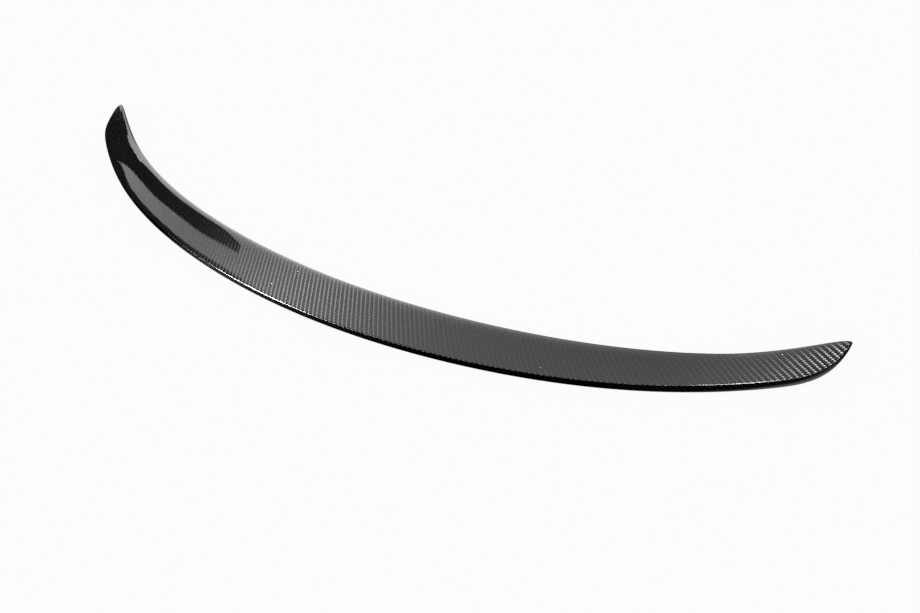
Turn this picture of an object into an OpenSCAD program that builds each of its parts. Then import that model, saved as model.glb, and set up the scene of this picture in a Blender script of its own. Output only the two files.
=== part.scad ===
// Boot-lid lip spoiler: one moulded carbon-fibre laminate, lying on its rear foot.
// X runs along the span, Y to the front of the car, Z up. The origin is at the bottom centre of its box.

/* [Plan] */
// Overall span from tip to tip
span = 1186; // [900:1:1500]
// How far the trailing edge bows forward from the middle to the ends
bow = 129; // [60:1:240]
// Extra forward flick of the trailing edge over the last stretch
flick = 41; // [0:1:80]
// Front-to-back width of the blade at the middle
chord_mid = 62; // [48:0.5:110]
// Front-to-back width of the blade towards the ends
chord_end = 43; // [40:0.5:100]
// Length over which each end is rounded in plan
tip_len = 68; // [30:1:120]
// Fullness of the rounded end, where 2 is an ellipse
tip_full = 5.9; // [2:0.1:7]
// How far the point of each end lies behind the front edge
tip_setback = 6.5; // [0:0.5:18]

/* [Section] */
// Height of the trailing edge above the bonding plane at the middle
crest_mid = 6.8; // [6:0.1:30]
// Height of the trailing edge above the bonding plane at the ends
crest_end = 10.8; // [6:0.1:25]
// Height of the skin behind the rolled front edge
nose_h = 3.6; // [3:0.1:6]
// Front-to-back length of the rolled front edge
nose_len = 15; // [3:0.5:16]
// Thickness left at the very front edge
edge_t = 1; // [0.5:0.1:2]
// Hollowness of the ramp, where 1 is a straight ramp
ramp_hollow = 1.5; // [1:0.05:2.5]
// Radius of the trailing edge
crease_r = 0.9; // [0.3:0.1:2]
// How far the foot lies in front of the trailing edge
undercut = -1.5; // [-3:0.1:3]
// Lean of the rear face just under the trailing edge
face_lean = 22; // [0:1:30]
// Nose-up angle of the section at the middle, as it lies at rest
nose_up_mid = 2.5; // [0:0.5:20]
// Nose-up angle of the section at the ends, where the lid falls away
nose_up_end = 6.5; // [0:0.5:30]
// Further nose-up angle of the very tips, which wrap round the lid's corners
tip_up = 18.5; // [0:0.5:30]
// Length over which each end takes on that further angle
tip_up_len = 118; // [60:1:200]

/* [Moulding] */
// Thickness of the laminate
wall = 2.2; // [1.2:0.1:2.4]
// Width of the return flange along the rear foot
flange_w = 9; // [5:0.5:12]
// Width of the bonding land along the front edge
land_w = 13; // [8:0.5:16]
// Distance from each tip to the end of the recess
recess_end = 76; // [62:1:150]
// Length of the sloped end wall of the recess
recess_run = 8; // [4:1:20]

/* [Hidden] */

half = span / 2;
recess_x = half - recess_end;

// How many steps the loft and its section take
main_steps = 34;
tip_steps = 12;
nose_steps = 6;
ramp_steps = 11;
crease_steps = 4;
face_steps = 5;
roof_steps = 6;

// Small widths near the tips are held to these shares of what is left of the chord
crease_share = 0.25;
foot_share = 0.3;
nose_share = 0.5;
// The rear face is fullest about this share of its height above the foot
belly = 0.45;
// The last ring stands this share of a right angle short of the tip
last_ring = 0.97;

function mix(a, b, t) = a + (b - a) * t;
function along(x) = abs(x) / half;

// Plan: the trailing edge, the full chord and the rounding of the ends
function rear_y(x) = bow * pow(along(x), 2) + flick * pow(along(x), 6);
function chord(x) = mix(chord_mid, chord_end, pow(along(x), 2));
function tip_t(x) = max(0, (abs(x) - (half - tip_len)) / tip_len);
function cut(x) = 1 - sqrt(1 - pow(tip_t(x), tip_full));
function rear_c(x) = (chord(x) - tip_setback) * cut(x);
function front_c(x) = chord(x) - tip_setback * cut(x);
function left_c(x) = front_c(x) - rear_c(x);
function fade(x) = min(1, left_c(x) / chord(x));

// Section: height of the outer skin over the bonding plane at chord position c
function crest(x) = mix(crest_mid, crest_end, pow(along(x), 3));
function ramp(x, c) = nose_h + (crest(x) - nose_h) * pow(max(0, 1 - c / chord(x)), ramp_hollow);
function nose_q(x, c) = min(1, max(0, (c - front_c(x) + nose_len) / nose_len));
function skin(x, c) = ramp(x, c) - (nose_h - edge_t) * (1 - sqrt(1 - pow(nose_q(x, c), 2)));

// Trailing edge: an arc that is tangent to the ramp and to the rear face
function arc_r(x) = min(crease_r, crease_share * left_c(x));
function arc_slope(x) =
    let (c = rear_c(x), d = arc_r(x) / 4)
    atan((skin(x, c) - skin(x, c + d)) / d);
function arc_c(x) = rear_c(x) + arc_r(x);
function arc_z(x) =
    let (a = arc_slope(x))
    skin(x, rear_c(x)) - arc_r(x) * (tan(a) + 1 / cos(a));
function ramp_end(x) = arc_c(x) + arc_r(x) * sin(arc_slope(x));
function arc_point(x, a) = [arc_c(x) + arc_r(x) * sin(a), arc_z(x) + arc_r(x) * cos(a)];

// Rear face: a curve that leaves the trailing edge at its lean and comes down on the foot
function lean(x) = face_lean * fade(x);
function arc_end(x) = arc_point(x, lean(x) - 90);
function pull(x) =
    let (p = arc_end(x))
    [p[0] - (1 - belly) * p[1] * tan(lean(x)), belly * p[1]];
function face_point(x, t) = mix(mix(arc_end(x), pull(x), t), mix(pull(x), [foot_c(x), 0], t), t);

// Underside: foot, return flange, recess and front land
function nose_w(x) = min(nose_len, nose_share * left_c(x));
function foot_c(x) = rear_c(x) + undercut * fade(x);
function flange_c(x) = foot_c(x) + min(flange_w, foot_share * left_c(x));
function land_c(x) = front_c(x) - min(land_w, foot_share * left_c(x));
function depth(x) = min(1, max(0, (recess_x - abs(x)) / recess_run));
function roof(x, c) = skin(x, c) - wall;

function top_line(x) = [
    [front_c(x), 0],
    for (k = [0 : nose_steps - 1])
        let (c = front_c(x) - nose_w(x) * (1 - cos(90 * k / nose_steps)))
        [c, skin(x, c)],
    for (k = [0 : ramp_steps - 1])
        let (c = mix(front_c(x) - nose_w(x), ramp_end(x), k / ramp_steps))
        [c, skin(x, c)],
    for (k = [0 : crease_steps])
        arc_point(x, mix(arc_slope(x), lean(x) - 90, k / crease_steps)),
    for (k = [1 : face_steps])
        face_point(x, k / face_steps)
];

function recess_line(x) = [
    [flange_c(x), 0],
    [flange_c(x), wall],
    [foot_c(x) + wall, wall],
    for (k = [0 : roof_steps])
        let (c = mix(rear_c(x) + wall, land_c(x), k / roof_steps))
        [c, roof(x, c)],
    [land_c(x), 0]
];

// Past the recess its line closes up onto the bonding plane
function under_line(x) =
    let (line = recess_line(x), n = len(line) - 1, d = depth(x))
    [for (k = [0 : n]) [mix(mix(flange_c(x), land_c(x), k / n), line[k][0], d), line[k][1] * d]];

// A section is turned nose-up about the trailing edge's own line
function tip_turn(x) = max(0, 1 - (half - abs(x)) / tip_up_len);
function nose_up(x) = mix(nose_up_mid, nose_up_end, pow(along(x), 2)) + tip_up * pow(tip_turn(x), 2);
function placed(x, p) =
    let (a = nose_up(x))
    [x, rear_y(x) + p[0] * cos(a) - p[1] * sin(a), p[0] * sin(a) + p[1] * cos(a)];
function ring(x) = [for (p = concat(top_line(x), under_line(x))) placed(x, p)];

// Stations along one half, then both halves from left to right
function stations() = concat(
    [for (k = [0 : main_steps]) (recess_x - recess_run) * k / main_steps],
    [for (k = [0 : tip_steps]) recess_x + recess_end * sin(90 * last_ring * k / tip_steps)]
);
function mirrored(xs) = concat([for (k = [len(xs) - 1 : -1 : 1]) -xs[k]], xs);
function tip_point(side) =
    let (x = side * half)
    placed(x, [chord(x) - tip_setback, skin(x, chord(x) - tip_setback) / 2]);

// Loft: quads between neighbouring rings, and a fan to the point of each tip
module loft(rings, first, last) {
    n = len(rings[0]);
    m = len(rings);
    points = concat([for (r = rings) each r], [first, last]);
    sides = [
        for (i = [0 : m - 2], j = [0 : n - 1])
            let (a = i * n + j, b = i * n + (j + 1) % n)
            each [[a, a + n, b], [b, a + n, b + n]]
    ];
    start = [for (j = [0 : n - 1]) [j, (j + 1) % n, n * m]];
    end = [for (j = [0 : n - 1]) let (k = (m - 1) * n) [k + (j + 1) % n, k + j, n * m + 1]];
    polyhedron(points = points, faces = concat(sides, start, end));
}

module lip_spoiler() {
    rings = [for (x = mirrored(stations())) ring(x)];
    ys = [for (r = rings, p = r) p[1]];
    zs = [for (r = rings, p = r) p[2]];
    color("#1d1e20")
    translate([0, -(min(ys) + max(ys)) / 2, -min(zs)])
        loft(rings, tip_point(-1), tip_point(1));
}

lip_spoiler();
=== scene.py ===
"""A boot-lid lip spoiler in clear-coated twill carbon fibre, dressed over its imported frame.

The blade is one lofted surface with its cloth laid along it, on a plain white studio stage.
Lengths are in metres unless a name or a comment says millimetres. X runs along the span, Y to the front, Z up.
"""

import bpy
import numpy as np
from mathutils import Matrix, Vector


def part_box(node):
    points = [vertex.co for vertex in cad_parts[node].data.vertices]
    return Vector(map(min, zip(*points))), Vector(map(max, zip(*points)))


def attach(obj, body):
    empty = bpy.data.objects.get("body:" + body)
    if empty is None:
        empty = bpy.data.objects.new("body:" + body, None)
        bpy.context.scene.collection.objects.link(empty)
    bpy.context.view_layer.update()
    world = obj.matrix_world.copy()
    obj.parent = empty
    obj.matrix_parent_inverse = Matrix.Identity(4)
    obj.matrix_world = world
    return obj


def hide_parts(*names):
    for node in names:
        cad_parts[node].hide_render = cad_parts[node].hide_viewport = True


bl_info = {
    "name": "Carbon lip spoiler",
    "version": (1, 0, 0),
    "blender": (4, 5, 0),
    "location": "View3D > Sidebar > Spoiler",
    "description": "Builds a twill carbon-fibre lip spoiler and its studio",
    "category": "Object",
}

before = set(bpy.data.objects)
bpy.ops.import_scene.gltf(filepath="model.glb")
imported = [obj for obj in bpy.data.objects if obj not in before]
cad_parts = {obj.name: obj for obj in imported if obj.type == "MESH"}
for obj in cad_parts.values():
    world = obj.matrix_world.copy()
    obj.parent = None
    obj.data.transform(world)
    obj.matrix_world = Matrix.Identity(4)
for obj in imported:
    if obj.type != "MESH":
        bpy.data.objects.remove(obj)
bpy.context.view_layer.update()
NODE = "lip_spoiler"
BOX_LOW, BOX_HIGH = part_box(NODE)
MM = 0.001

# The photograph's width and its focal length, both in pixels, and the width of the sensor that stands for it
FRAME_W = 920
FOCAL_PX = 1200
SENSOR_W_MM = 36


def linear(hex_colour):
    """Linear RGBA from an sRGB hex colour, by the sRGB curve."""
    srgb = np.array([int(hex_colour[i:i + 2], 16) for i in (1, 3, 5)]) / 255
    rgb = np.where(srgb <= 0.04045, srgb / 12.92, ((srgb + 0.055) / 1.055) ** 2.4)
    return (*rgb.tolist(), 1.0)


def direction(azimuth, elevation):
    """Unit vector at an azimuth turned from +Y towards +X and an elevation over the floor, in degrees."""
    az, el = np.radians(azimuth), np.radians(elevation)
    return np.array([np.sin(az) * np.cos(el), np.cos(az) * np.cos(el), np.sin(el)])


def mix(a, b, t):
    return a + (b - a) * t


def size_prop(name, millimetres, description):
    """A length property, given in millimetres and kept in metres."""
    return bpy.props.FloatProperty(
        name=name, description=description, default=millimetres * MM, min=0,
        unit="LENGTH", subtype="DISTANCE", precision=5)


def angle_prop(name, degrees, description):
    """An angle property, given in degrees and kept in radians."""
    return bpy.props.FloatProperty(
        name=name, description=description, default=np.radians(degrees), subtype="ANGLE")


def level_prop(name, level, description):
    """A brightness property, where 1 is plain white."""
    return bpy.props.FloatProperty(name=name, description=description, default=level)


class SPOILER_PG_blade(bpy.types.PropertyGroup):
    """Driving sizes of the blade, the same as the frame's."""

    span: bpy.props.FloatProperty(
        name="Span", description="Overall span from tip to tip",
        default=BOX_HIGH.x - BOX_LOW.x, unit="LENGTH", subtype="DISTANCE")
    bow: size_prop("Bow", 129, "Forward bow of the trailing edge from the middle to the ends")
    flick: size_prop("Flick", 41, "Extra forward flick of the trailing edge at the ends")
    chord_mid: size_prop("Middle chord", 62, "Front-to-back width at the middle")
    chord_end: size_prop("End chord", 43, "Front-to-back width towards the ends")
    tip_len: size_prop("Tip length", 68, "Length over which each end is rounded in plan")
    tip_setback: size_prop("Tip setback", 6.5, "How far the point of each end lies behind the front edge")
    crest_mid: size_prop("Middle crest", 6.8, "Trailing-edge height at the middle")
    crest_end: size_prop("End crest", 10.8, "Trailing-edge height at the ends")
    nose_h: size_prop("Nose height", 3.6, "Skin height behind the rolled front edge")
    nose_len: size_prop("Nose length", 15, "Length of the rolled front edge")
    edge_t: size_prop("Edge thickness", 1, "Thickness at the very front")
    crease_r: size_prop("Crease radius", 0.9, "Radius of the trailing edge")
    foot_out: size_prop("Foot", 1.5, "How far the foot lies behind the trailing edge")
    face_lean: angle_prop("Face lean", 22, "Lean of the rear face just under the trailing edge")
    wall: size_prop("Wall", 2.2, "Thickness of the laminate")
    flange_w: size_prop("Flange", 9, "Width of the return flange")
    land_w: size_prop("Land", 13, "Width of the front bonding land")
    recess_end: size_prop("Recess end", 76, "From each tip to the end of the recess")
    recess_run: size_prop("Recess run", 8, "Length of the recess's sloped end wall")
    tip_full: bpy.props.FloatProperty(
        name="Tip fullness", description="Power of the rounded end, where 2 is an ellipse", default=5.9)
    ramp_hollow: bpy.props.FloatProperty(
        name="Ramp hollow", description="Power of the ramp, where 1 is straight", default=1.5)
    nose_up_mid: angle_prop("Middle pitch", 2.5, "Nose-up angle of the section at the middle")
    nose_up_end: angle_prop("End pitch", 6.5, "Nose-up angle of the section at the ends")
    tip_up: angle_prop("Tip pitch", 18.5, "Further nose-up angle of the very tips")
    tip_up_len: size_prop("Tip pitch length", 118, "Length over which each end takes on that further angle")


class SPOILER_PG_cloth(bpy.types.PropertyGroup):
    """The twill and its clear coat."""

    tow: size_prop("Tow", 1.85, "Width of one tow of the cloth")
    bias: angle_prop("Bias", 82.8, "Angle from the span to the warp at the middle of the blade")
    steer: bpy.props.FloatProperty(
        name="Steer", description="Share of the blade's own turn that the cloth follows",
        default=0.8, min=0, max=1, subtype="FACTOR")
    fibre: bpy.props.FloatVectorProperty(
        name="Fibre colour", description="Colour of the bare fibres",
        default=linear("#4a4a4a"), size=4, min=0, max=1, subtype="COLOR")
    relief: size_prop("Relief", 0.12, "Height of a float's crown over the hollows between tows")
    print_through: size_prop("Print-through", 0.0006, "How much of that relief the clear coat shows")
    crown_power: bpy.props.FloatProperty(
        name="Crown power", description="How flat a tow is across its width", default=3.0)
    arch_power: bpy.props.FloatProperty(
        name="Arch power", description="How flat a float is along its length", default=2.5)


class SPOILER_PG_studio(bpy.types.PropertyGroup):
    """Camera, cards and lamps of the plain studio."""

    azimuth: angle_prop("Camera azimuth", 52.16, "Turn from straight behind towards the car's right")
    elevation: angle_prop("Camera elevation", 41.15, "Height of the camera over the floor as an angle")
    roll: angle_prop("Camera roll", -19.19, "Turn of the picture about its middle")
    distance: size_prop("Camera distance", 1284.9, "From the camera to the point that it looks at")
    tent: level_prop("Tent", 1.1, "Brightness of the white tent as the gloss shows it")
    behind: level_prop("Behind", 0.06, "Brightness of the rest of the studio as the gloss shows it")
    side: level_prop("Side", 0.6, "Brightness of the wall of light on the right")
    glow: level_prop("Glow", 8.0, "Further brightness low at the far left")
    glow_spread: angle_prop("Glow spread", 13, "Half width of that glow")
    left_card: level_prop("Left card", 0.05, "Brightness of the dark card at the left end")
    rim_card: level_prop("Rim card", 3.0, "Brightness of the card that lights the left tip's rim")
    box_flag: level_prop("Box flag", 0.0, "Brightness of the black flag under the left soft box")
    under: level_prop("Under", 1.5, "Brightness straight below as the gloss shows it")
    fill: level_prop("Fill", 0.95, "Brightness of the plain fill on matt surfaces")
    overhead: level_prop("Overhead box", 80.0, "Brightness of the overhead soft box")
    left_box: level_prop("Left box", 115.0, "Brightness of the soft box at the left")


# Steps of a section's parts, and of the stations along each half of the span
NOSE_STEPS = 12
RAMP_STEPS = 34
CREASE_STEPS = 8
FACE_STEPS = 10
ROOF_STEPS = 14
MAIN_STEPS = 300
TIP_STEPS = 60

# Small widths near the tips are held to these shares of what is left of the chord
NOSE_SHARE = 0.5
CREASE_SHARE = 0.25
FOOT_SHARE = 0.3

# The rear face is fullest about this share of its height above the foot
BELLY = 0.45

# The last ring lies at this share of the right angle that would reach the tip
LAST_RING = 0.995

# Faces that meet at a wider angle than this are shaded as a hard edge
SHARP_ANGLE = np.radians(35)


class Blade:
    """The blade's outer and inner lines, as functions of the span position x, in metres.

    The share u runs from 0 at the middle to 1 at a tip. The trailing edge lies at bow * u^2 + flick * u^6.
    The chord eases from chord_mid to chord_end by u^2, and a power curve rounds the last tip_len of it.
    """

    def __init__(self, s):
        self.s = s
        self.half = s.span / 2

    def along(self, x):
        return np.abs(x) / self.half

    def rear_y(self, x):
        u = self.along(x)
        return self.s.bow * u**2 + self.s.flick * u**6

    def chord(self, x):
        return mix(self.s.chord_mid, self.s.chord_end, self.along(x) ** 2)

    def cut(self, x):
        t = np.maximum(0, (np.abs(x) - (self.half - self.s.tip_len)) / self.s.tip_len)
        return 1 - np.sqrt(np.maximum(0, 1 - t**self.s.tip_full))

    def rear_c(self, x):
        return (self.chord(x) - self.s.tip_setback) * self.cut(x)

    def front_c(self, x):
        return self.chord(x) - self.s.tip_setback * self.cut(x)

    def skin(self, x, c):
        """Height of the outer skin: a hollow ramp, less a quarter ellipse at the rolled front edge."""
        crest = mix(self.s.crest_mid, self.s.crest_end, self.along(x) ** 3)
        share = np.maximum(0, 1 - c / self.chord(x))
        ramp = self.s.nose_h + (crest - self.s.nose_h) * share**self.s.ramp_hollow
        q = np.clip((c - self.front_c(x)) / self.s.nose_len + 1, 0, 1)
        return ramp - (self.s.nose_h - self.s.edge_t) * (1 - np.sqrt(1 - q**2))

    def pitch(self, x):
        """Nose-up angle: it grows by u^2, and by a further square over the last tip_up_len."""
        tip_turn = np.maximum(0, 1 - (self.half - np.abs(x)) / self.s.tip_up_len)
        return mix(self.s.nose_up_mid, self.s.nose_up_end, self.along(x) ** 2) + self.s.tip_up * tip_turn**2

    def place(self, x, c, h):
        """Turns a section point nose-up about the trailing edge's own line and puts it at x."""
        a = self.pitch(x)
        y = self.rear_y(x) + c * np.cos(a) - h * np.sin(a)
        z = c * np.sin(a) + h * np.cos(a)
        return np.stack(np.broadcast_arrays(x, y, z), axis=-1)


def spaced(n, power=1.0):
    """n shares from 0 up to but not reaching 1, crowded towards 0 by the power."""
    return (np.arange(n) / n) ** power


def section_lines(blade, x):
    """Closed section rings for a column of stations x, as chord and height arrays.

    From the front edge: the rolled nose as a quarter ellipse, the ramp, an arc about the trailing edge,
    the rear face, the foot, the flange, the recess and the front land.
    """
    s = blade.s
    front, rear = blade.front_c(x), blade.rear_c(x)
    left = front - rear
    nose = np.minimum(s.nose_len, NOSE_SHARE * left)
    nose_c = front - nose * (1 - np.cos(np.pi / 2 * spaced(NOSE_STEPS)))

    arc_r = np.minimum(s.crease_r, CREASE_SHARE * left)
    step = arc_r / 4
    slope = np.arctan((blade.skin(x, rear) - blade.skin(x, rear + step)) / step)
    arc_c = rear + arc_r
    arc_z = blade.skin(x, rear) - arc_r * (np.tan(slope) + 1 / np.cos(slope))
    ramp_c = mix(front - nose, arc_c + arc_r * np.sin(slope), spaced(RAMP_STEPS))
    top_c = np.concatenate([nose_c, ramp_c], axis=1)
    top_h = blade.skin(x, top_c)

    fade = np.minimum(1, left / blade.chord(x))
    lean = s.face_lean * fade
    turn = mix(slope, lean - np.pi / 2, np.linspace(0, 1, CREASE_STEPS + 1))
    crease_c = arc_c + arc_r * np.sin(turn)
    crease_h = arc_z + arc_r * np.cos(turn)

    foot = rear - s.foot_out * fade
    end_c, end_h = crease_c[:, -1:], crease_h[:, -1:]
    pull_c = end_c - (1 - BELLY) * end_h * np.tan(lean)
    drop = spaced(FACE_STEPS)[1:]
    face_c = mix(mix(end_c, pull_c, drop), mix(pull_c, foot, drop), drop)
    face_h = mix(mix(end_h, BELLY * end_h, drop), BELLY * end_h * (1 - drop), drop)

    depth = np.clip((blade.half - s.recess_end - np.abs(x)) / s.recess_run, 0, 1)
    flange = foot + np.minimum(s.flange_w, FOOT_SHARE * left)
    land = front - np.minimum(s.land_w, FOOT_SHARE * left)
    roof_c = mix(rear + s.wall, land, np.linspace(0, 1, ROOF_STEPS + 1))
    roof_h = blade.skin(x, roof_c) - s.wall
    zero = np.zeros_like(x)
    under_c = np.concatenate([flange, flange, foot + s.wall, roof_c, land], axis=1)
    under_h = np.concatenate([zero, zero + s.wall, zero + s.wall, roof_h, zero], axis=1)
    flat_c = mix(flange, land, np.linspace(0, 1, under_c.shape[1]))
    under_c = mix(flat_c, under_c, depth)
    c = np.concatenate([top_c, crease_c, face_c, foot, under_c], axis=1)
    h = np.concatenate([top_h, crease_h, face_h, zero, under_h * depth], axis=1)
    # The front edge stands upright, from the bonding plane up to its rim
    h[:, 0] = 0
    rim = blade.skin(x, front)
    c = np.concatenate([c[:, :1], front, c[:, 1:]], axis=1)
    h = np.concatenate([h[:, :1], rim, h[:, 1:]], axis=1)
    return c, h


def stations(blade):
    """Span positions from the left to the right: even along the recess, crowded towards each tip by a sine."""
    main_end = blade.half - blade.s.recess_end - blade.s.recess_run
    main = main_end * np.arange(MAIN_STEPS) / MAIN_STEPS
    share = np.sin(np.pi / 2 * LAST_RING * np.linspace(0, 1, TIP_STEPS + 1))
    right = np.concatenate([main, mix(main_end, blade.half, share)])
    return np.concatenate([-right[:0:-1], right])


def cloth_map(blade, cloth, x, c, h):
    """Cloth coordinates in metres at each ring point, warp first.

    The distance along is the blade's middle line measured by its arc, and the distance across is the
    section's own arc from the front edge. The cloth's angle to the blade falls as the blade turns, by the
    share that the cloth doesn't follow, and its phase along is the integral of the cosine of that angle.
    The sections stand square to X and not to the blade, so across them the turn is added again.
    """
    mid = blade.chord(x) / 2
    y = blade.rear_y(x) + mid
    dx, dy = np.gradient(x[:, 0]), np.gradient(y[:, 0])
    turn = np.arctan2(dy, dx)
    angle = cloth.bias - (1 - cloth.steer) * turn
    ds = np.hypot(dx, dy)
    zero_at = len(x) // 2
    warp_s = np.cumsum(np.cos(angle) * ds)
    weft_s = np.cumsum(-np.sin(angle) * ds)
    warp_s -= warp_s[zero_at]
    weft_s -= weft_s[zero_at]
    c = np.concatenate([c, c[:, :1]], axis=1)
    h = np.concatenate([h, h[:, :1]], axis=1)
    arc = np.hypot(np.diff(c, axis=1), np.diff(h, axis=1)).cumsum(axis=1)
    across = blade.front_c(x) - mid - np.concatenate([np.zeros_like(x), arc], axis=1)
    warp = warp_s[:, None] + across * np.sin(angle + turn)[:, None]
    weft = weft_s[:, None] + across * np.cos(angle + turn)[:, None]
    return np.stack([warp, weft], axis=-1)


def grid_faces(m, n):
    """Quads between m rings of n points, as corners into the points and into rings that repeat their first."""
    i, j = np.meshgrid(np.arange(m - 1), np.arange(n), indexing="ij")
    i, j = i.ravel(), j.ravel()
    rings = [i, i + 1, i + 1, i]
    places = [j, j, j + 1, j + 1]
    corners = np.stack([r * n + p % n for r, p in zip(rings, places)], axis=1)
    map_corners = np.stack([r * (n + 1) + p for r, p in zip(rings, places)], axis=1)
    return corners, map_corners


def blade_mesh(blade, cloth):
    """One closed shell: the section rings carried along the stations, with a fan to the point of each tip."""
    x = stations(blade)[:, None]
    c, h = section_lines(blade, x)
    m, n = c.shape
    rings = blade.place(x, c, h)
    tip_x = np.array([-blade.half, blade.half])
    tip_c = blade.front_c(tip_x)
    tips = blade.place(tip_x, tip_c, blade.skin(tip_x, tip_c) / 2)
    points = np.concatenate([rings.reshape(-1, 3), tips])
    quads, map_quads = grid_faces(m, n)
    uv = cloth_map(blade, cloth, x, c, h)
    j = np.arange(n)
    last = (m - 1) * n
    start = np.stack([j, (j + 1) % n, np.full(n, m * n)], axis=1)
    end = np.stack([last + (j + 1) % n, last + j, np.full(n, m * n + 1)], axis=1)
    faces = quads.tolist() + start.tolist() + end.tolist()
    mesh = bpy.data.meshes.new("lip_blade")
    mesh.from_pydata(points.tolist(), [], faces)

    flat_uv = uv.reshape(-1, 2)
    start_uv = np.stack([uv[0, j], uv[0, j + 1], uv[0, [0] * n]], axis=1)
    end_uv = np.stack([uv[-1, j + 1], uv[-1, j], uv[-1, [0] * n]], axis=1)
    corners = [flat_uv[map_quads].reshape(-1, 2), start_uv.reshape(-1, 2), end_uv.reshape(-1, 2)]
    mesh.uv_layers.new(name="cloth")
    mesh.uv_layers["cloth"].data.foreach_set("uv", np.concatenate(corners).astype(np.float32).ravel())
    return mesh


def seat(mesh, node):
    """Moves a mesh by whole offsets so that its box stands where the node's does."""
    co = np.empty(len(mesh.vertices) * 3, np.float32)
    mesh.vertices.foreach_get("co", co)
    co = co.reshape(-1, 3)
    low, high = (np.array(corner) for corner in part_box(node))
    centre = (low + high) / 2
    shift = centre - (co.min(axis=0) + co.max(axis=0)) / 2
    shift[2] = low[2] - co[:, 2].min()
    co += shift
    mesh.vertices.foreach_set("co", co.ravel())
    mesh.update()
    return shift


def add_node(tree, kind, settings=None, inputs=None):
    """Adds a node, sets its settings, and sets or links its inputs."""
    node = tree.nodes.new(kind)
    for key, value in (settings or {}).items():
        setattr(node, key, value)
    for key, value in (inputs or {}).items():
        if isinstance(value, bpy.types.NodeSocket):
            tree.links.new(value, node.inputs[key])
        else:
            node.inputs[key].default_value = value
    return node


def new_material(name):
    material = bpy.data.materials.new(name)
    material.use_nodes = True
    material.node_tree.nodes.clear()
    return material, material.node_tree


def maths(tree, operation, a, b=0.0, c=0.0):
    return add_node(tree, "ShaderNodeMath", {"operation": operation}, {0: a, 1: b, 2: c}).outputs[0]


def mixed(tree, factor, a, b):
    inputs = {"Factor": factor, "A": a, "B": b}
    return add_node(tree, "ShaderNodeMix", {"data_type": "FLOAT"}, inputs).outputs[0]


def ramped(tree, value, low, high, at_low, at_high):
    """A smooth step from one level to another as the value passes from low to high."""
    settings = {"interpolation_type": "SMOOTHSTEP", "clamp": True}
    inputs = {"Value": value, "From Min": low, "From Max": high, "To Min": at_low, "To Max": at_high}
    return add_node(tree, "ShaderNodeMapRange", settings, inputs).outputs["Result"]


def along_ray(tree, ray, towards):
    """How far a ray goes along a direction given by azimuth and elevation, from -1 to 1."""
    inputs = {0: ray, 1: direction(*towards).tolist()}
    return add_node(tree, "ShaderNodeVectorMath", {"operation": "DOT_PRODUCT"}, inputs).outputs["Value"]


def fall(tree, share, power, per_metre):
    """A level that is 1 at a share of 0 and 0 at a share of -1 or 1, and its slope for a share per metre."""
    size = maths(tree, "ABSOLUTE", share)
    level = maths(tree, "SUBTRACT", 1.0, maths(tree, "POWER", size, power))
    steepness = maths(tree, "MULTIPLY", maths(tree, "POWER", size, power - 1), maths(tree, "SIGN", share))
    return level, maths(tree, "MULTIPLY", steepness, -power * per_metre)


def tilted(tree, slopes, depth):
    """A normal along the cloth map for slopes of a relief of unit depth, at the given depth.

    The Normal Map node takes each component n of the normal as a colour of (n + 1) / 2.
    """
    colour = add_node(tree, "ShaderNodeVectorMath", {"operation": "MULTIPLY_ADD"}, {
        0: slopes, 1: (-0.5 * depth, -0.5 * depth, 0), 2: (0.5, 0.5, 1)}).outputs[0]
    return add_node(tree, "ShaderNodeNormalMap", {"uv_map": "cloth"}, {"Color": colour}).outputs[0]


# The hollows between tows, and the gloss of the fibres and of the polished coat over them
HOLLOW_COLOUR = linear("#050505")
FIBRE_ROUGHNESS = 0.34
FIBRE_ANISOTROPY = 0.9
COAT_ROUGHNESS = 0.015
EPOXY_IOR = 1.5


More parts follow.
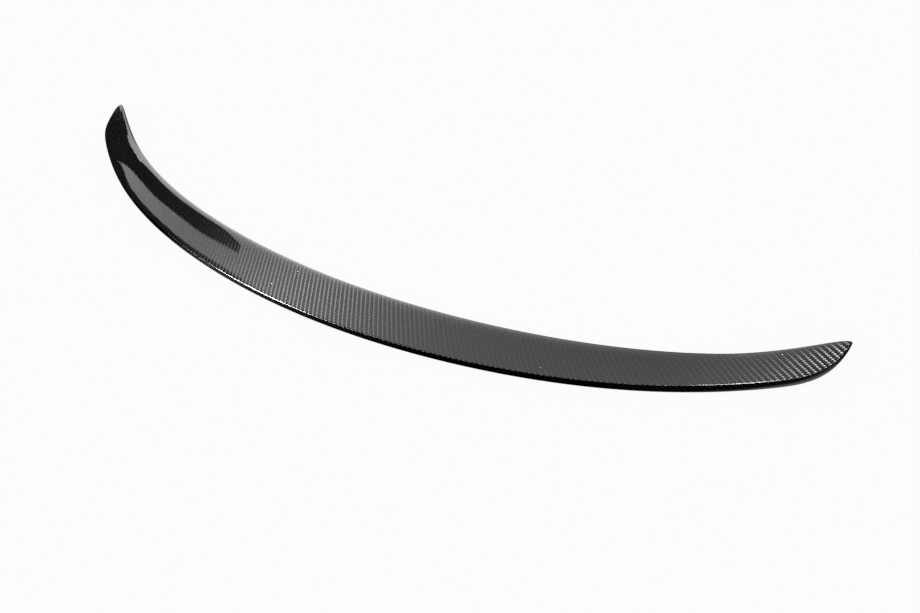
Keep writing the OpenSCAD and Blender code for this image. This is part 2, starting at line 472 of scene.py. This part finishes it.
def clear_coated_twill(cloth):
    """2x2 twill carbon fibre in epoxy under a polished clear coat.

    Each tow passes over two and under two, one step further at each neighbour, which gives the diagonal ribs.
    The fibres are dark graphite that shines across its own direction, so warp and weft floats take turns in
    catching the light. At grazing angles only the coat shines, and so their own tint there is black.
    """
    material, tree = new_material("clear_coated_twill")
    uv = add_node(tree, "ShaderNodeUVMap", {"uv_map": "cloth"})
    tows = add_node(tree, "ShaderNodeVectorMath", {"operation": "SCALE"}, {
        0: uv.outputs[0], "Scale": 1 / cloth.tow})
    axes = add_node(tree, "ShaderNodeSeparateXYZ", inputs={0: tows.outputs[0]})
    # The warp runs along p and its tows are counted by q, the weft the other way about
    p, q = axes.outputs[0], axes.outputs[1]
    i, j = maths(tree, "FLOOR", p), maths(tree, "FLOOR", q)
    p_in, q_in = maths(tree, "FRACT", p), maths(tree, "FRACT", q)
    step = maths(tree, "FLOORED_MODULO", maths(tree, "SUBTRACT", i, j), 4.0)
    warp_up = maths(tree, "LESS_THAN", step, 2.0)
    # Across the tow on top from -1 to 1, and along its float of two tows from -1 to 1
    across = maths(tree, "MULTIPLY_ADD", mixed(tree, warp_up, p_in, q_in), 2.0, -1.0)
    warp_along = maths(tree, "ADD", p_in, maths(tree, "SUBTRACT", step, 1.0))
    weft_along = maths(tree, "ADD", q_in, maths(tree, "SUBTRACT", 2.0, step))
    along = mixed(tree, warp_up, weft_along, warp_along)
    crown, crown_slope = fall(tree, across, cloth.crown_power, 2 / cloth.tow)
    arch, arch_slope = fall(tree, along, cloth.arch_power, 1 / cloth.tow)
    height = maths(tree, "MULTIPLY", crown, arch)
    across_slope = maths(tree, "MULTIPLY", crown_slope, arch)
    along_slope = maths(tree, "MULTIPLY", arch_slope, crown)
    slopes = add_node(tree, "ShaderNodeCombineXYZ", inputs={
        0: mixed(tree, warp_up, across_slope, along_slope),
        1: mixed(tree, warp_up, along_slope, across_slope)}).outputs[0]
    relief = tilted(tree, slopes, cloth.relief)
    print_through = tilted(tree, slopes, cloth.print_through)
    colour = add_node(tree, "ShaderNodeMix", {"data_type": "RGBA"}, {
        "Factor": height, "A": HOLLOW_COLOUR, "B": tuple(cloth.fibre)})
    # The shine is drawn out along the tangent, which is the warp's way, so warp floats turn it by a quarter
    tangent = add_node(tree, "ShaderNodeTangent", {"direction_type": "UV_MAP", "uv_map": "cloth"})
    turn = maths(tree, "MULTIPLY", warp_up, 0.25)
    shader = add_node(tree, "ShaderNodeBsdfPrincipled", inputs={
        "Base Color": colour.outputs[2], "Metallic": 1.0, "Specular Tint": (0.0, 0.0, 0.0, 1.0),
        "Roughness": FIBRE_ROUGHNESS, "Anisotropic": FIBRE_ANISOTROPY, "Anisotropic Rotation": turn,
        "Tangent": tangent.outputs[0], "Normal": relief,
        "Coat Weight": 1.0, "Coat Roughness": COAT_ROUGHNESS, "Coat IOR": EPOXY_IOR,
        "Coat Normal": print_through})
    add_node(tree, "ShaderNodeOutputMaterial", inputs={"Surface": shader.outputs[0]})
    return material


class SPOILER_OT_blade(bpy.types.Operator):
    """Lofts the blade with its cloth map and its clear-coated twill"""

    bl_idname = "spoiler.blade"
    bl_label = "Build the blade"

    def execute(self, context):
        scene = context.scene
        blade = Blade(scene.spoiler_blade)
        mesh = blade_mesh(blade, scene.spoiler_cloth)
        shift = seat(mesh, NODE)
        scene["blade_shift"] = [float(v) for v in shift]
        mesh.shade_smooth()
        mesh.set_sharp_from_angle(angle=SHARP_ANGLE)
        mesh.materials.append(clear_coated_twill(scene.spoiler_cloth))
        piece = bpy.data.objects.new("lip_blade", mesh)
        scene.collection.objects.link(piece)
        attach(piece, "root")
        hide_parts(NODE)
        return {"FINISHED"}


def smooth(points, steps=8):
    """Points along a Catmull-Rom curve through the given points, with a number of steps between two of them."""
    pts = np.array([points[0], *points, points[-1]], dtype=float)
    t = np.arange(steps)[:, None] / steps
    curve = []
    for a, b, c, d in zip(pts, pts[1:], pts[2:], pts[3:]):
        bend = (2 * a - 5 * b + 4 * c - d) * t**2 + (3 * b - a - 3 * c + d) * t**3
        curve.extend(0.5 * (2 * b + (c - a) * t + bend))
    return [*curve, pts[-1]]


# The cards stand half a metre and more from the left end, in the direction that its gloss shows the camera
CARD_DIRECTION = (-63, 31)
LEFT_END_MM = np.array([-300, 70, 10])
LEFT_CARD_CENTRE_MM = LEFT_END_MM + 500 * direction(*CARD_DIRECTION)
RIM_CARD_CENTRE_MM = LEFT_END_MM + 560 * direction(*CARD_DIRECTION)

# The gap in the left card shows as the light patch, and the finger beside it as the dark streak above that
GAP_TIP = (-47, -101)
GAP_LEFT_SIDE = [GAP_TIP, (-50, -52), (-34, 8), (4, 81), (92, 200), (150, 262)]
GAP_RIGHT_SIDE = [GAP_TIP, (-42, -60), (-29, -14), (5, 55), (49, 118)]
FINGER_SIDE = [
    (49, 118), (82, 62), (92, 25), (56, -8), (35, -25), (24, -48), (18, -72), (8, -85), (-6, -93), (-18, -95),
    (-20, -101), (-17, -108), (-34, -112), (-50, -124), (-53, -164)]
LEFT_CARD_REST = [(-66, -212), (-80, -250), (-120, -420), (-450, -420), (-450, 700), (480, 700)]
RIM_CARD = [(-260, -420), (70, -420), (70, -60), (-25, -60), (-25, -106), (-260, -106)]

# A level black flag keeps the left soft box off the left end
FLAG_FACING = (0, 90)
BOX_FLAG_CENTRE_MM = np.array([-550, -40, 158])
BOX_FLAG = [(-150, -150), (195, -150), (195, 110), (-150, 110)]


def card(name, outline, facing, centre_mm, level):
    """A flat card that only the gloss sees, square to a direction given by azimuth and elevation.

    Its outline is in millimetres, rightwards and upwards on its plane from its centre.
    """
    right = direction(facing[0] + 90, 0)
    up = np.cross(right, direction(*facing))
    centre = centre_mm * MM + np.array(bpy.context.scene["blade_shift"])
    mesh = bpy.data.meshes.new(name)
    points = [(centre + (r * right + u * up) * MM).tolist() for r, u in outline]
    mesh.from_pydata(points, [], [list(range(len(points)))])
    piece = bpy.data.objects.new(name, mesh)
    bpy.context.scene.collection.objects.link(piece)
    material, tree = new_material(name)
    shown = add_node(tree, "ShaderNodeEmission", inputs={"Strength": level})
    add_node(tree, "ShaderNodeOutputMaterial", inputs={"Surface": shown.outputs[0]})
    mesh.materials.append(material)
    piece.visible_camera = False
    piece.visible_diffuse = False
    piece.visible_transmission = False


# Half the floor's width, its matt colour, and the share of plain white in what the camera sees of it
FLOOR_HALF = 6
FLOOR_COLOUR = linear("#f0f0f0")
FLOOR_WHITE = 0.93


def pale_floor(scene):
    """A matt white floor that shows white to the camera and keeps a faint shadow."""
    mesh = bpy.data.meshes.new("floor")
    corners = [(x * FLOOR_HALF, y * FLOOR_HALF, 0) for x, y in ((-1, -1), (1, -1), (1, 1), (-1, 1))]
    mesh.from_pydata(corners, [], [(0, 1, 2, 3)])
    floor = bpy.data.objects.new("floor", mesh)
    scene.collection.objects.link(floor)
    material, tree = new_material("pale_floor")
    path = add_node(tree, "ShaderNodeLightPath")
    matt = add_node(tree, "ShaderNodeBsdfDiffuse", inputs={"Color": FLOOR_COLOUR})
    white = add_node(tree, "ShaderNodeEmission", inputs={"Strength": 1.0})
    seen = maths(tree, "MULTIPLY", path.outputs["Is Camera Ray"], FLOOR_WHITE)
    shown = add_node(tree, "ShaderNodeMixShader", inputs={0: seen, 1: matt.outputs[0], 2: white.outputs[0]})
    add_node(tree, "ShaderNodeOutputMaterial", inputs={"Surface": shown.outputs[0]})
    mesh.materials.append(material)
    floor.visible_glossy = False


class SPOILER_OT_stage(bpy.types.Operator):
    """Sets the white studio, its cards and lamps, and the camera"""

    bl_idname = "spoiler.stage"
    bl_label = "Set the stage"

    def execute(self, context):
        scene = context.scene
        studio = scene.spoiler_studio
        white_world(scene, studio)
        finger = smooth(GAP_RIGHT_SIDE) + smooth(FINGER_SIDE)[1:]
        left_card = finger + LEFT_CARD_REST + smooth(GAP_LEFT_SIDE)[:0:-1]
        card("left_card", left_card, CARD_DIRECTION, LEFT_CARD_CENTRE_MM, studio.left_card)
        card("rim_card", RIM_CARD, CARD_DIRECTION, RIM_CARD_CENTRE_MM, studio.rim_card)
        card("box_flag", BOX_FLAG, FLAG_FACING, BOX_FLAG_CENTRE_MM, studio.box_flag)
        pale_floor(scene)
        soft_lamps(scene, studio)
        aim_camera(scene, studio)
        scene.view_settings.view_transform = "Standard"
        return {"FINISHED"}


# The tent, with the cosines of the angles from its middle at which it starts to fade and is gone
TENT_DIRECTION = (-62, 32)
TENT_INNER = np.cos(np.radians(10))
TENT_OUTER = np.cos(np.radians(47))

# The glow low at the far left
GLOW_DIRECTION = (-58, 5)

# The same for a dimmer wall of light on the right, beside the camera
SIDE_DIRECTION = (95, 40)
SIDE_INNER = np.cos(np.radians(40))
SIDE_OUTER = np.cos(np.radians(65))

# A flag that ends the tent on the side behind the blade, by the ray's component along a direction
FLAG_DIRECTION = (11.3, 0)
FLAG_LOW = 0.165
FLAG_HIGH = 0.195

# A flag low in front keeps the rolled front edge of the right half dark, and lets through this share
LOW_FLAG_DIRECTION = (-20, -5)
LOW_FLAG_INNER = np.cos(np.radians(19))
LOW_FLAG_OUTER = np.cos(np.radians(28))
LOW_FLAG_SHARE = 0.12

# Heights of a ray between which the sky starts over the horizon, and the light straight below ends
HORIZON_LOW = -0.02
HORIZON_HIGH = 0.08
UNDER_LOW = -0.97
UNDER_HIGH = -0.75


def white_world(scene, studio):
    """White to the camera, a plain fill to matt surfaces, and a lit studio to the gloss.

    The gloss sees a white tent on the far side with a glow low at its left, a dimmer wall of light on the
    right, and light straight below. Two flags cut into the tent, and the rest is nearly dark.
    """
    world = bpy.data.worlds.new("white_studio")
    scene.world = world
    world.use_nodes = True
    # The world's lights are wide and soft, so rays find them without a sampling map
    world.cycles.sampling_method = "NONE"
    tree = world.node_tree
    tree.nodes.clear()
    path = add_node(tree, "ShaderNodeLightPath")
    ray = add_node(tree, "ShaderNodeTexCoord").outputs["Generated"]
    axes = add_node(tree, "ShaderNodeSeparateXYZ", inputs={0: ray})
    over = ramped(tree, axes.outputs[2], HORIZON_LOW, HORIZON_HIGH, 0.0, 1.0)
    tent = ramped(tree, along_ray(tree, ray, TENT_DIRECTION), TENT_OUTER, TENT_INNER, 0.0, 1.0)
    past_flag = ramped(tree, along_ray(tree, ray, FLAG_DIRECTION), FLAG_LOW, FLAG_HIGH, 0.0, 1.0)
    tent = maths(tree, "MULTIPLY_ADD", maths(tree, "MULTIPLY", tent, past_flag), studio.tent, studio.behind)
    towards_glow = along_ray(tree, ray, GLOW_DIRECTION)
    spread = 1 / studio.glow_spread**2
    glow = maths(tree, "EXPONENT", maths(tree, "MULTIPLY_ADD", towards_glow, spread, -spread))
    glow = maths(tree, "MULTIPLY", glow, studio.glow)
    towards_flag = along_ray(tree, ray, LOW_FLAG_DIRECTION)
    low_flag = ramped(tree, towards_flag, LOW_FLAG_OUTER, LOW_FLAG_INNER, 1.0, LOW_FLAG_SHARE)
    side = ramped(tree, along_ray(tree, ray, SIDE_DIRECTION), SIDE_OUTER, SIDE_INNER, 0.0, studio.side)
    sky = maths(tree, "MULTIPLY_ADD", low_flag, maths(tree, "ADD", tent, glow), side)
    sky = maths(tree, "MULTIPLY", over, sky)
    under = ramped(tree, axes.outputs[2], UNDER_LOW, UNDER_HIGH, studio.under, 0.0)
    gloss = add_node(tree, "ShaderNodeBackground", inputs={"Strength": maths(tree, "ADD", sky, under)})
    fill = add_node(tree, "ShaderNodeBackground", inputs={"Strength": studio.fill})
    white = add_node(tree, "ShaderNodeBackground", inputs={"Strength": 1.0})
    lit = add_node(tree, "ShaderNodeMixShader", inputs={
        0: path.outputs["Is Glossy Ray"], 1: fill.outputs[0], 2: gloss.outputs[0]})
    seen = maths(tree, "MAXIMUM", path.outputs["Is Camera Ray"], path.outputs["Is Transmission Ray"])
    shown = add_node(tree, "ShaderNodeMixShader", inputs={0: seen, 1: lit.outputs[0], 2: white.outputs[0]})
    add_node(tree, "ShaderNodeOutputWorld", inputs={"Surface": shown.outputs[0]})


def soft_lamp(scene, name, azimuth, elevation, distance, from_point_mm, wide, high, radiance):
    """A soft box that only the gloss sees, at a direction and distance from a point of the blade, facing it."""
    data = bpy.data.lights.new(name, "AREA")
    data.shape = "RECTANGLE"
    data.size = wide
    data.size_y = high
    data.energy = radiance * np.pi * wide * high
    lamp = bpy.data.objects.new(name, data)
    lamp.visible_diffuse = False
    scene.collection.objects.link(lamp)
    to_lamp = direction(azimuth, elevation)
    place = np.array(from_point_mm) * MM + np.array(scene["blade_shift"]) + to_lamp * distance
    lamp.rotation_euler = Vector(to_lamp.tolist()).to_track_quat("Z", "Y").to_euler()
    lamp.location = place.tolist()


def soft_lamps(scene, studio):
    """One box over the right end and one at the rear left, which the trailing edge and the fibres catch."""
    soft_lamp(
        scene, "overhead_box", azimuth=-156, elevation=82, distance=0.7, from_point_mm=(545, 155, 20),
        wide=0.2, high=0.2, radiance=studio.overhead)
    soft_lamp(
        scene, "left_box", azimuth=-113, elevation=36, distance=0.8, from_point_mm=(0, 60, 8),
        wide=0.3, high=0.2, radiance=studio.left_box)


# The point that the camera looks at, before the blade is seated in its frame
CAMERA_TARGET_MM = np.array([214.06, 69.30, 31.17])


def aim_camera(scene, studio):
    """Camera at the photograph's angle: the optical axis through the target, then the picture's own roll."""
    az, el, roll = studio.azimuth, studio.elevation, studio.roll
    back = np.array([np.sin(az) * np.cos(el), -np.cos(az) * np.cos(el), np.sin(el)])
    right = np.array([np.cos(az), np.sin(az), 0])
    up = np.cross(back, right)
    turned_right = right * np.cos(roll) + up * np.sin(roll)
    turned_up = -right * np.sin(roll) + up * np.cos(roll)
    target = CAMERA_TARGET_MM * MM + np.array(scene["blade_shift"])
    eye = target + back * studio.distance
    data = bpy.data.cameras.new("camera")
    data.sensor_fit = "HORIZONTAL"
    data.sensor_width = SENSOR_W_MM
    data.lens = FOCAL_PX / FRAME_W * SENSOR_W_MM
    camera = bpy.data.objects.new("camera", data)
    scene.collection.objects.link(camera)
    matrix = np.eye(4)
    matrix[:3, 0], matrix[:3, 1], matrix[:3, 2], matrix[:3, 3] = turned_right, turned_up, back, eye
    camera.matrix_world = Matrix(matrix.tolist())
    scene.camera = camera


class SPOILER_PT_panel(bpy.types.Panel):
    """Lists the spoiler's operators and sizes"""

    bl_idname = "SPOILER_PT_panel"
    bl_label = "Lip spoiler"
    bl_space_type = "VIEW_3D"
    bl_region_type = "UI"
    bl_category = "Spoiler"

    def draw(self, context):
        layout = self.layout
        for operator in (SPOILER_OT_blade, SPOILER_OT_stage):
            layout.operator(operator.bl_idname)
        for group in (context.scene.spoiler_blade, context.scene.spoiler_cloth, context.scene.spoiler_studio):
            column = layout.column()
            for name in group.__annotations__:
                column.prop(group, name)


CLASSES = (
    SPOILER_PG_blade, SPOILER_PG_cloth, SPOILER_PG_studio,
    SPOILER_OT_blade, SPOILER_OT_stage, SPOILER_PT_panel,
)


def register():
    for cls in CLASSES:
        bpy.utils.register_class(cls)
    bpy.types.Scene.spoiler_blade = bpy.props.PointerProperty(type=SPOILER_PG_blade)
    bpy.types.Scene.spoiler_cloth = bpy.props.PointerProperty(type=SPOILER_PG_cloth)
    bpy.types.Scene.spoiler_studio = bpy.props.PointerProperty(type=SPOILER_PG_studio)


def unregister():
    del bpy.types.Scene.spoiler_studio
    del bpy.types.Scene.spoiler_cloth
    del bpy.types.Scene.spoiler_blade
    for cls in reversed(CLASSES):
        bpy.utils.unregister_class(cls)


def main():
    """Builds the blade and its stage."""
    register()
    bpy.ops.spoiler.blade()
    bpy.ops.spoiler.stage()
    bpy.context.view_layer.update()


if __name__ == "__main__":
    main()
